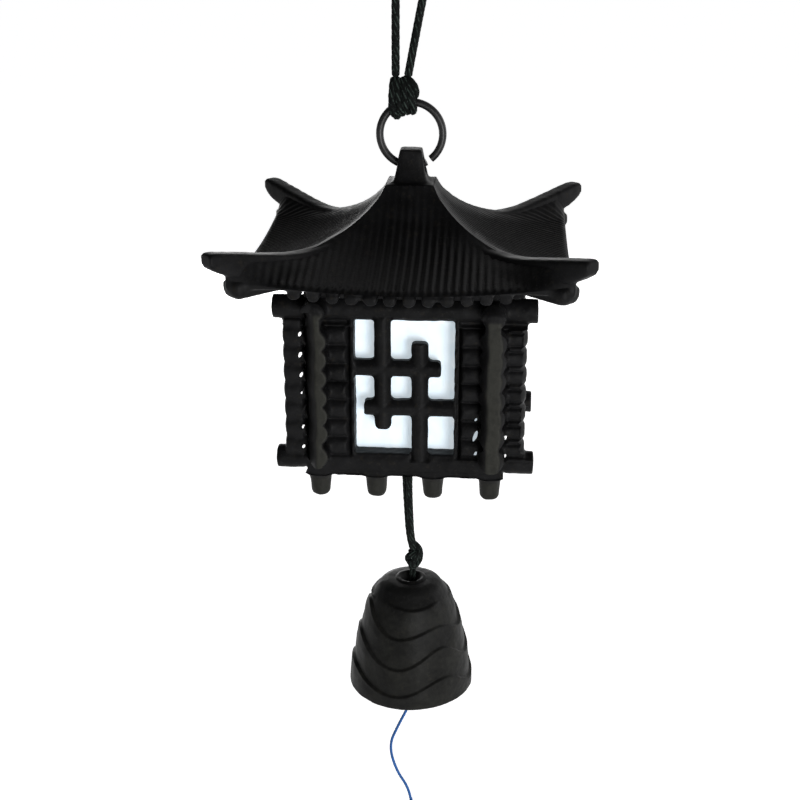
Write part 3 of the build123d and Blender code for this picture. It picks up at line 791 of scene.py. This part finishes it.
BARS_UPRIGHT = ((-6.2, PLATFORM - 66.6, PLATFORM - 33.0), (4.4, PLATFORM - 76.0, PLATFORM - 40.2))
BARS_LEVEL = ((PLATFORM - 48.2, -15.0, 10.6), (PLATFORM - 60.1, -11.8, 15.0))
BAR_HALF, BAR_FRONT, BAR_REACH = 2.8, -28.35, 14.0
LOG_PITCH = 5.55
LOG_LEVELS = PLATFORM - 38.6 - LOG_PITCH * np.arange(7)
LOG_TOP, LOG_FOOT, LAST_END = PLATFORM - 35.8, PLATFORM - 75.0, PLATFORM - 72.5
LOG_FRONT, LOG_START, LOG_OUT = -29.0, 17.3, 34.75
CHINK_START = 29.2
END_LEVELS = PLATFORM - np.array([29.5, 38.6, 44.15, 49.7, 55.25, 60.8, 66.35, 73.4])
# Slits: place across, level, half width, half height, lean across and fall per step back
SLITS = (
    (-29.2, -37.9, 0.42, 0.7, -0.158, -0.325), (-29.25, -44.0, 0.48, 0.85, -0.159, -0.342),
    (-29.1, -50.0, 0.42, 0.75, -0.158, -0.359), (-29.0, -55.4, 0.3, 0.4, -0.158, -0.37),
    (-28.9, -65.8, 0.4, 0.6, -0.158, -0.403), (-29.0, -71.9, 0.4, 0.55, -0.158, -0.42),
    (20.5, -62.3, 0.38, 0.55, -0.019, -0.394), (20.4, -67.3, 0.6, 1.75, -0.019, -0.408),
    (20.5, -72.9, 0.42, 0.9, -0.019, -0.424), (28.9, -67.6, 0.48, 0.75, 0.003, -0.41),
    (28.9, -73.2, 0.48, 0.6, 0.003, -0.424),
)
SLIT_SIDES = 20
# Boxes in the front and back walls: they fill the crossing log ends' joints and square off a beam
POST_FOOT, POST_TOP = PLATFORM - 72.0, PLATFORM - 32.0
FILLING = (
    ((-27.7, -33.9, POST_FOOT), (-22.9, -29.0, POST_TOP)),
    ((22.8, -33.9, POST_FOOT), (27.0, -29.0, POST_TOP)),
    ((-33.9, -28.15, POST_FOOT), (-29.0, -22.0, PLATFORM - 34.0)),
    ((-28.3, -28.3, FLOOR_TOP - 1.6), (28.3, -24.0, FLOOR_TOP + 1.6)),
)
# Ground strip of each corner: its left and right edge, how far joints notch the right edge, and
# its upper end
CORNER_WEAR = {
    -25.0: (0.6, 3.4, 0.2, PLATFORM - 30.6),
    25.0: (-1.2, 2.45, 0.06, PLATFORM - 31.8),
}
# Floor: half width of the slab, start and width of its scalloped edge, the feet and the hole
SLAB_HALF, EDGE_START, EDGE_WIDTH = 28.2, 24.8, 3.3
FEET = 16.5 * np.array([-1.5, -0.5, 0.5, 1.5])
FOOT_LINE, FOOT_RADIUS = 25.2, 2.9
MOUTH_RADIUS, FADE = 4.2, 2.6
# Papers: half width, lower and upper edge, and their place behind the wall
PAPER_HALF, PAPER_FOOT, PAPER_TOP, PAPER_BACK = 21.5, -130.9, -87.3, -22.42


class WINDBELL_OT_house(bpy.types.Operator):
    """Log walls, floor and window papers"""

    bl_idname = "wind_bell.house"
    bl_label = "House"

    def execute(self, context):
        slits = self.slits()
        for turn, side in enumerate(SIDES):
            way = (1, 0, -1, 0)[turn]
            blocks = [[(way * x, way * y, z) for x, y, z in box] for box in FILLING if way]
            wall = cast_copy(
                f"wall_{side}_casting", f"wall_{side}", voxel=0.42, rounds=3, seed=30 + 3 * turn,
                wobble=0.1, blocks=blocks, cutter=slits if side == "front" else None,
            )
            self.wear(wall.data, quarter_turn(turn))
            dress(wall, plain_iron(), "lantern", (f"wall_{side}",))
        bpy.data.objects.remove(slits)
        floor = cast_copy("floor_casting", "floor", voxel=0.5, rounds=5, seed=60, wobble=0.1)
        self.trim_floor(floor.data)
        dress(floor, plain_iron(), "lantern", ("floor",))
        self.papers()
        return {"FINISHED"}

    def slits(self):
        """Slanting gaps between the logs beside the front wall's corners, as one cutting mesh."""
        turn = np.linspace(0, 2 * np.pi, SLIT_SIDES, endpoint=False)
        points, faces = [], []
        for x, level, wide, tall, lean, fall in SLITS:
            slant = x + wide * np.cos(turn) + 0.3 * tall * np.sin(turn)
            height = PLATFORM + level + tall * np.sin(turn)
            ring = np.stack([slant, np.full(SLIT_SIDES, LOG_FRONT), height], -1)
            way = np.array([lean, 1.0, fall])
            first = 2 * SLIT_SIDES * len(points)
            second = first + SLIT_SIDES
            points.append(np.concatenate([ring - 8.0 * way, ring + 12.0 * way]))
            faces += quads(2, SLIT_SIDES, close_columns=True, start=first).tolist()
            faces += [[*range(first, second)], [*range(second, second + SLIT_SIDES)][::-1]]
        return new_object("slit_cutter", np.concatenate(points), faces)

    def trim_floor(self, mesh):
        """Scallops the slab's edge, flares the cord's hole and makes the feet paler towards their
        lower ends.
        """
        places = read_places(mesh)
        slab = places[:, 2] > FLOOR_UNDER + 0.15
        places[slab, :2] = np.clip(places[slab, :2], -SLAB_HALF, SLAB_HALF)
        x, y, z = places.T
        edge = np.clip((np.abs(places[:, :2]).max(1) - EDGE_START) / EDGE_WIDTH, 0, 1)
        across = np.abs(x[:, None] - FEET).min(1)
        foot = np.clip((np.hypot(across, np.abs(y) - FOOT_LINE) - FOOT_RADIUS) / FADE, 0, 1)
        mouth = np.clip((MOUTH_RADIUS - np.hypot(x, y)) / FADE, 0, 1)
        under = FLOOR_UNDER + 1.0 * edge * foot + 1.9 * mouth
        places[:, 2] = np.where(z > FLOOR_UNDER - 0.4, np.maximum(z, under), z)
        write_places(mesh, places)
        mark_wear_and_painted_light(mesh, np.clip((FLOOR_UNDER + 0.5 - places[:, 2]) / 2.5, 0, 0.62))

    def wear(self, mesh, spin):
        """Rounds the lattice bars and the log ends, then grinds a strip down each corner.

        Places are read as if the wall stood in front. Each limit is a depth that no point may
        stand out of.
        """
        x, y, z = (read_places(mesh) @ spin.T).T
        y = self.round_bars(x, y, z)
        x, y = self.part_logs(x, y, z)
        worn = np.zeros(len(x))
        w = z - END_LEVELS[np.abs(z[:, None] - END_LEVELS).argmin(1)]
        for corner, (left, right, notch, top) in CORNER_WEAR.items():
            u = x - corner
            sway = 0.22 * np.sin(0.31 * z + corner) + 0.12 * np.sin(0.83 * z)
            right_edge = right + sway * 0.5 - notch * np.clip(abs(w), 0, 2.8) ** 2
            past = np.maximum(left + sway * 0.8 - u, 0)
            over = np.maximum(u - right_edge, 0)
            limit = -33.75 + 0.1 * sway
            limit = limit + 0.75 * past + 0.35 * past**2 + 0.9 * over + 0.3 * over**2
            crest = -34.3 + 0.1 * u**2 + 0.17 * np.clip(z - top, 0, None) ** 2
            limit = np.where(z > top, np.maximum(np.minimum(limit, -33.2), crest), limit)
            here = (abs(u) < 4.6) & (y < -29.5)
            flat = np.clip(1 - np.maximum(past, over) / 0.35, 0, 1)
            flat = flat * np.clip((top - z) / 0.8, 0, 1)
            worn = np.where(here & (y < limit + 0.3), flat, worn)
            y = np.where(here, np.maximum(y, limit), y)
        write_places(mesh, np.stack([x, y, z], -1) @ spin)
        mark_wear_and_painted_light(mesh, worn)

    def round_bars(self, x, y, z):
        """Lattice bars: the nearer the middle line of a bar, the further out."""
        off = np.full(len(x), np.inf)
        for bar_x, low, high in BARS_UPRIGHT:
            off = np.minimum(off, np.where((z > low) & (z < high), abs(x - bar_x), np.inf))
        for bar_z, low, high in BARS_LEVEL:
            off = np.minimum(off, np.where((x > low) & (x < high), abs(z - bar_z), np.inf))
        bar = (off < BAR_HALF) & (abs(x) < BAR_REACH)
        return np.where(bar, np.maximum(y, BAR_FRONT + 0.27 * off**2), y)

    def part_logs(self, x, y, z):
        """Logs: joints between them, chinks at the right, rounded by the jambs and outside."""
        w = z - LOG_LEVELS[np.abs(z[:, None] - LOG_LEVELS).argmin(1)]
        face = (abs(x) > LOG_START - 2.0) & (y < -25.6) & (z < LOG_TOP) & (z > LOG_FOOT)
        joint = 0.8 * np.clip(abs(w) / (LOG_PITCH / 2), 0, 1) ** 6
        ridge = np.exp(-(((abs(w) - 1.85) / 0.3) ** 2))
        groove = np.exp(-(((abs(w) - LOG_PITCH / 2) / 0.5) ** 2))
        joint = np.where(x < -CHINK_START, 0.0, joint)
        joint = np.where(x > CHINK_START, 0.55 * ridge - 0.75 * groove, joint)
        y = np.where(face & (y > LOG_FRONT - 0.2), y + joint, y)
        jamb = LOG_FRONT + 1.1 * np.clip(LOG_START - abs(x), 0, 1.8) ** 2
        y = np.where(face & (abs(x) < LOG_START), np.maximum(y, jamb), y)
        out = LOG_OUT - np.where(x < 0, 0.06, 0.11) * (w**2 + (y + 25.0) ** 2)
        outer = (abs(x) > 31.0) & (z < LOG_TOP) & (z > LAST_END)
        return np.where(outer, np.sign(x) * np.minimum(abs(x), out), x), y

    def papers(self):
        """Thin, slightly uneven sheets, flat against the walls' inner faces."""
        # 0.62 is the paper's painted glow, an emission that stands for light coming through the
        # windows
        paper = material("window_paper", paper_material, ("paper",), 0.62)
        across = np.linspace(-PAPER_HALF, PAPER_HALF, 38)
        across, up = np.meshgrid(across, np.linspace(PAPER_FOOT, PAPER_TOP, 40), indexing="ij")
        swell = 0.07 * np.sin(across / 3.1 + 0.4) * np.sin(up / 4.3)
        for turn, side in enumerate(SIDES):
            near = np.stack([across, PAPER_BACK + swell * 0.5, up], -1) @ quarter_turn(turn)
            faces = quads(*across.shape)
            thing = new_object(f"window_paper_{side}", near.reshape(-1, 3), faces)
            thicken(thing, 0.25)
            dress(thing, paper, "lantern", (f"paper_{side}",))


# Bell: its outer radius at depth shares from the crown

BELL_HEIGHT, BELL_MOUTH = 37.1, 20.0
ROOM_HEIGHT, ROOM_MOUTH = 33.4, 17.6
BELL_RADIUS = np.array([0.37, 0.485, 0.61, 0.71, 0.79, 0.875, 0.945, 1.0]) * BELL_MOUTH
BELL_DEPTH = np.array([0.0, 0.025, 0.13, 0.26, 0.4, 0.58, 0.79, 1.0])
# From the cord's hole out over the crown's dish and its ring
CROWN_RADIUS = np.array([1.9, 1.9, 2.1, 2.9, 3.3, 3.55, 3.75, 4.2, 4.65, 4.9, 5.2])
CROWN_RISE = np.array([-3.7, -1.4, -1.25, -0.35, 0.05, 0.32, 0.42, 0.45, 0.3, 0.0, 0.0])
# Each wave line: depth shares at its crests and troughs, which stand at these angles in degrees
# from the front
WAVE_ANGLES = np.array([-80.0, -11.0, 40.0, 82.0, 135.0, 205.0, 280.0])
WAVE_LINES = np.array([
    [0.17, 0.378, 0.298, 0.38, 0.21, 0.37, 0.17],
    [0.44, 0.642, 0.478, 0.645, 0.47, 0.64, 0.44],
    [0.735, 0.882, 0.742, 0.9, 0.74, 0.885, 0.735],
])
LAST_LINE = 1.12
STEP_WIDTH = 0.4


def bell_radius(depth):
    """Outer radius of the bell at a depth share: steep at the shoulder, then nearly straight."""
    fine = np.linspace(0, 1, 400)
    rough = np.interp(fine, BELL_DEPTH, BELL_RADIUS)
    kernel = np.hanning(31)
    past = rough[-1] + (rough[-1] - rough[-2]) * np.arange(1, 16)
    padded = np.concatenate([np.full(15, rough[0]), rough, past])
    smooth = np.convolve(padded, kernel / kernel.sum(), "valid")
    keep = np.clip(fine / 0.03, 0, 1)
    return np.interp(depth, fine, rough * (1 - keep) + smooth * keep)


class WINDBELL_OT_bell(bpy.types.Operator):
    """Bell with stepped wave bands, and its clapper"""

    bl_idname = "wind_bell.bell"
    bl_label = "Bell"

    def execute(self, context):
        dress(self.bell(), plain_iron(), "bell", ("bell",))
        dress(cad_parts["clapper"], plain_iron())
        return {"FINISHED"}

    def wave_lift(self, t, d):
        """Past each wave line the outside steps out, then leans back to the next. The first line
        shows at three places only."""
        first = WAVE_ANGLES[0]
        angle = (np.degrees(t) - first) % 360.0 + first
        span = np.searchsorted(WAVE_ANGLES, angle, side="right") - 1
        span = np.clip(span, 0, len(WAVE_ANGLES) - 2)
        share = (angle - WAVE_ANGLES[span]) / (WAVE_ANGLES[span + 1] - WAVE_ANGLES[span])
        share = 0.5 - 0.5 * np.cos(np.pi * share)
        waves = [line[span] + share * (line[span + 1] - line[span]) for line in WAVE_LINES]
        brow = 0.125 + 0.014 * np.cos(np.radians(angle - 8) * 4)
        lines = [brow, *waves, np.full_like(t, LAST_LINE)]
        ends = np.clip((46.0 - abs((angle - 9.0 + 60.0) % 120.0 - 60.0)) / 16.0, 0, 1)
        lift = np.zeros_like(t)
        for line, following in zip(lines, lines[1:]):
            run = (d - line) / (following - line)
            edge = ease(np.clip((d - line) * BELL_HEIGHT / STEP_WIDTH, 0, 1))
            shape = edge * (1 - np.clip(run, 0, 1))
            shape = shape * ends if line is brow else shape
            lift = np.where((run >= 0) & (run < 1), shape, lift)
        return lift

    def bell(self):
        """The waved outside, then from the rim up the inside to the hole and over the dish."""
        step = size("wave_step")
        turn = np.linspace(0, 2 * np.pi, 240, endpoint=False)
        shoulder = np.linspace(0, 0.04, 8, endpoint=False)
        depth = np.concatenate([shoulder, np.linspace(0.04, 1, 190)])
        t, d = np.meshgrid(turn, depth, indexing="ij")
        lip = np.clip((d - 0.985) / 0.015, 0, 1)
        outside = bell_radius(d) + step * self.wave_lift(t, d) - 0.25 * step - 0.35 * lip**2
        share = np.linspace(1, 0, 60)
        room = np.interp(share, BELL_DEPTH, BELL_RADIUS) * (ROOM_MOUTH / BELL_MOUTH)
        inside = np.concatenate([room, CROWN_RADIUS])
        room_level = CROWN - BELL_HEIGHT + ROOM_HEIGHT * (1 - share)
        level = np.concatenate([CROWN - BELL_HEIGHT * depth, room_level, CROWN_RISE + CROWN])
        radius = np.concatenate([outside, np.broadcast_to(inside, (len(turn), len(inside)))], 1)
        sin, cos = np.sin(turn)[:, None], np.cos(turn)[:, None]
        level = np.broadcast_to(level, radius.shape)
        points = np.stack([radius * sin, -radius * cos, level], -1)
        faces = quads(*radius.shape, close_rows=True, close_columns=True)
        thing = new_object("bell_casting", points.reshape(-1, 3), faces)
        places = read_places(thing.data)
        # Painted light: the bell is painted paler overall, most below the shoulder, for the light
        # its body catches; the crown and shoulder stay darker as painted shade. The lumpy patches
        # are rubbed iron.
        low = np.clip(((CROWN - places[:, 2]) / BELL_HEIGHT - 0.06) / 0.16, 0, 1)
        patches = 1 + 0.3 * lumps(places, 9.0, 73) + 0.16 * lumps(places, 2.5, 74)
        mark_wear_and_painted_light(thing.data, np.clip((0.1 + 0.2 * ease(low)) * patches, 0, 1))
        uneven(thing.data, (0.05, 0.02), (6.0, 2.0), 71)
        return thing


# Threads and strip: radius of the thread's loop, the strip's half width and length, and its hole

LOOP_RADIUS = 3.6
STRIP_HALF, STRIP_LENGTH = 20.0, 100.0
HOLE_RADIUS = 1.0
KNOT_LEVEL = -212.8


class WINDBELL_OT_strip(bpy.types.Operator):
    """Threads from the clapper and the paper strip that catches the wind"""

    bl_idname = "wind_bell.strip"
    bl_label = "Thread and strip"

    def execute(self, context):
        top, foot = THREAD_TOP, STRIP_TOP + LOOP_RADIUS + 0.7
        path = spline_points([
            (0, 0, top), (0, 0, top - 9), (-0.2, 0, top - 17), (-4.4, -0.2, top - 26),
            (-7.4, 0, top - 34), (-5.0, 0.2, top - 44), (-0.6, 0, top - 51), (0, 0, foot),
        ])
        long_thread = {"sides": 14, "relief": 0.2}
        line = blue_tube("strip_thread_twist", path, "strip_line", "strip_thread", **long_thread)
        free_cord(path, size("thread_diameter"))
        hold = [(0, 0, -192.2), (0.05, 0.05, -198), (-0.05, 0, -205), (0, 0, -211.4)]
        hold = spline_points(hold)
        blue_tube("clapper_thread_twist", hold, "clapper", "clapper_thread", **long_thread)
        t = np.linspace(0, 2 * np.pi, 260)
        tie = [0.55 * np.sin(2 * t), 0.55 * np.sin(3 * t), KNOT_LEVEL + 0.7 * np.cos(t)]
        blue_tube("clapper_knot_tie", np.stack(tie, -1), "clapper", "clapper_knot", sides=12)
        ring = [0 * t, LOOP_RADIUS * np.sin(t), STRIP_TOP + LOOP_RADIUS * np.cos(t)]
        blue_tube("strip_loop_twist", np.stack(ring, -1), "strip", "strip_loop", sides=12)
        self.strip()
        return {"FINISHED"}

    def strip(self):
        """A tall sheet that curls across and bows along its length, with a punched hole."""
        across = np.linspace(-STRIP_HALF, STRIP_HALF, 41)
        across, down = np.meshgrid(across, np.linspace(0, STRIP_LENGTH, 81), indexing="ij")
        share = down / STRIP_LENGTH
        bow = 0.8 * (1 - (across / STRIP_HALF) ** 2) * share + 0.5 * np.sin(down / 32.0) * share
        points = np.stack([across, bow, STRIP_TOP - down], -1).reshape(-1, 3)
        faces = quads(*across.shape)
        centre = points[faces].mean(1)
        hole = np.hypot(centre[:, 0], centre[:, 2] - (STRIP_TOP - LOOP_RADIUS)) < HOLE_RADIUS
        thing = new_object("wind_strip_card", points, faces[~hole])
        thicken(thing, 0.35)
        card = material("strip_card", paper_material, ("strip",), 0.0)
        dress(thing, card, "strip", ("wind_strip",))


# Stage: each lamp's place, aim, size and power, and the camera, all in metres

LAMPS = {
    "front_low": ((0.5, -1.0, -0.2), (0.0, 0.0, -0.15), 0.5, 8.6),
    "side_right": ((1.0, 0.35, 0.05), (0.0, 0.0, -0.13), 0.4, 1.5),
    "back_fill": ((-0.3, 1.2, -0.2), (0.0, 0.0, -0.2), 0.7, 6.0),
}
CAMERA_AIM = Vector((-0.003375, 0.0, -0.12285))
CAMERA_DISTANCE = 0.41319
CAMERA_AZIMUTH, CAMERA_ELEVATION = math.radians(4.561), math.radians(20.67)
CAMERA_ROLL = math.radians(-0.125)
CAMERA_LENS = 60.664
DISC_RINGS = np.array([0.0, 300.0, 1200.0, 6000.0])
DISC_SIDES = 96
WHITE = (1.0, 1.0, 1.0)
ROOM_TINT = (0.96, 0.98, 1.0)
ROOM_POWER = 0.3
DARK_WAY = (-0.45, -0.45, 0.77)


class WINDBELL_OT_stage(bpy.types.Operator):
    """Pale floor, white background, soft lamps and the camera"""

    bl_idname = "wind_bell.stage"
    bl_label = "Stage"

    def execute(self, context):
        self.camera()
        self.floor()
        self.world()
        for name, (place, aim, width, power) in LAMPS.items():
            data = bpy.data.lights.new(name, "AREA")
            data.size, data.energy = width, power
            thing = link(name, data)
            thing.location = place
            turn = (Vector(aim) - Vector(place)).to_track_quat("-Z", "Y")
            thing.rotation_euler = turn.to_euler()
        context.scene.view_settings.view_transform = "Standard"
        return {"FINISHED"}

    def camera(self):
        """The camera stands where the photographer stood."""
        data = bpy.data.cameras.new("camera")
        data.lens = CAMERA_LENS
        data.clip_start, data.clip_end = 0.01, 50.0
        level = math.cos(CAMERA_ELEVATION)
        back = Vector((
            math.sin(CAMERA_AZIMUTH) * level,
            -math.cos(CAMERA_AZIMUTH) * level,
            math.sin(CAMERA_ELEVATION),
        ))
        thing = link("camera", data)
        thing.location = CAMERA_AIM + back * CAMERA_DISTANCE
        turn = (-back).to_track_quat("-Z", "Y").to_matrix()
        thing.rotation_euler = (turn @ Matrix.Rotation(CAMERA_ROLL, 3, "Z")).to_euler()
        bpy.context.scene.camera = thing

    def floor(self):
        """A pale disc under the strip, nearly white to the camera and in gloss."""
        sheet = new_sheet("pale_floor")
        camera = sheet.read("ShaderNodeLightPath", "Is Camera Ray")
        gloss = sheet.read("ShaderNodeLightPath", "Is Glossy Ray")
        plain = sheet.add("ShaderNodeBsdfDiffuse", {}, {"Color": (0.9, 0.9, 0.9)})
        glow = sheet.add("ShaderNodeEmission", {}, {"Color": WHITE, "Strength": 1.0})
        bright = sheet.add("ShaderNodeAddShader", {}, {0: glow, 1: plain})
        seen = (camera + gloss) * 0.92
        sheet.output(sheet.add("ShaderNodeMixShader", {}, {0: seen, 1: plain, 2: bright}))
        turn = np.linspace(0, 2 * np.pi, DISC_SIDES, endpoint=False)
        ring = DISC_RINGS[:, None]
        level = np.full((len(ring), DISC_SIDES), STAGE_LEVEL)
        points = np.stack([ring * np.sin(turn), ring * np.cos(turn), level], -1).reshape(-1, 3)
        faces = quads(*level.shape, close_columns=True)
        thing = new_object("floor_disc", points, faces, merge=0.001)
        thing.data.materials.append(sheet.owner)

    def world(self):
        """White to the camera and in gloss, softer where it lights the object. It is darker in
        front and overhead, so that the castings' faces stay black between bright edges."""
        sheet = Sheet(bpy.data.worlds.new("white_room"))
        bpy.context.scene.world = sheet.owner
        seen = sheet.read("ShaderNodeLightPath", "Is Camera Ray")
        gloss = sheet.read("ShaderNodeLightPath", "Is Glossy Ray")
        way = sheet.read("ShaderNodeTexCoord", "Generated")
        dot = {"operation": "DOT_PRODUCT"}
        lean = sheet.add("ShaderNodeVectorMath", dot, {0: way, 1: DARK_WAY}, "Value")
        shade = lean.steps(-0.25, 0.6, 1.0, 0.12)
        soft = {"Color": ROOM_TINT, "Strength": shade * ROOM_POWER}
        white = {"Color": WHITE, "Strength": shade.combine("MAXIMUM", seen)}
        soft, white = [sheet.add("ShaderNodeBackground", {}, light) for light in (soft, white)]
        either = {0: seen.combine("MAXIMUM", gloss), 1: soft, 2: white}
        sheet.output(sheet.add("ShaderNodeMixShader", {}, either), "World")


class WINDBELL_PT_panel(bpy.types.Panel):
    """Lists the pieces and their settings"""

    bl_idname = "WINDBELL_PT_panel"
    bl_label = "Wind bell"
    bl_space_type = "VIEW_3D"
    bl_region_type = "UI"
    bl_category = "Wind bell"

    def draw(self, context):
        for operator in STEPS:
            self.layout.operator(operator.bl_idname)
        for group in (context.scene.wind_bell_finish, context.scene.wind_bell_sizes):
            for name in group.__annotations__:
                self.layout.prop(group, name)


STEPS = (
    WINDBELL_OT_stage,
    WINDBELL_OT_hanging_cord,
    WINDBELL_OT_bell_cord,
    WINDBELL_OT_strip,
    WINDBELL_OT_ring,
    WINDBELL_OT_roof,
    WINDBELL_OT_house,
    WINDBELL_OT_bell,
)
CLASSES = (WindBellFinish, WindBellSizes, *STEPS, WINDBELL_PT_panel)


def register():
    """Registers the classes and puts the settings on the scene."""
    for kind in CLASSES:
        bpy.utils.register_class(kind)
    bpy.types.Scene.wind_bell_finish = bpy.props.PointerProperty(type=WindBellFinish)
    bpy.types.Scene.wind_bell_sizes = bpy.props.PointerProperty(type=WindBellSizes)


def unregister():
    """Takes the settings and classes away again."""
    del bpy.types.Scene.wind_bell_sizes
    del bpy.types.Scene.wind_bell_finish
    for kind in reversed(CLASSES):
        bpy.utils.unregister_class(kind)


def main():
    """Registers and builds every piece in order."""
    register()
    for step in STEPS:
        group, name = step.bl_idname.split(".")
        getattr(getattr(bpy.ops, group), name)()


if __name__ == "__main__":
    main()
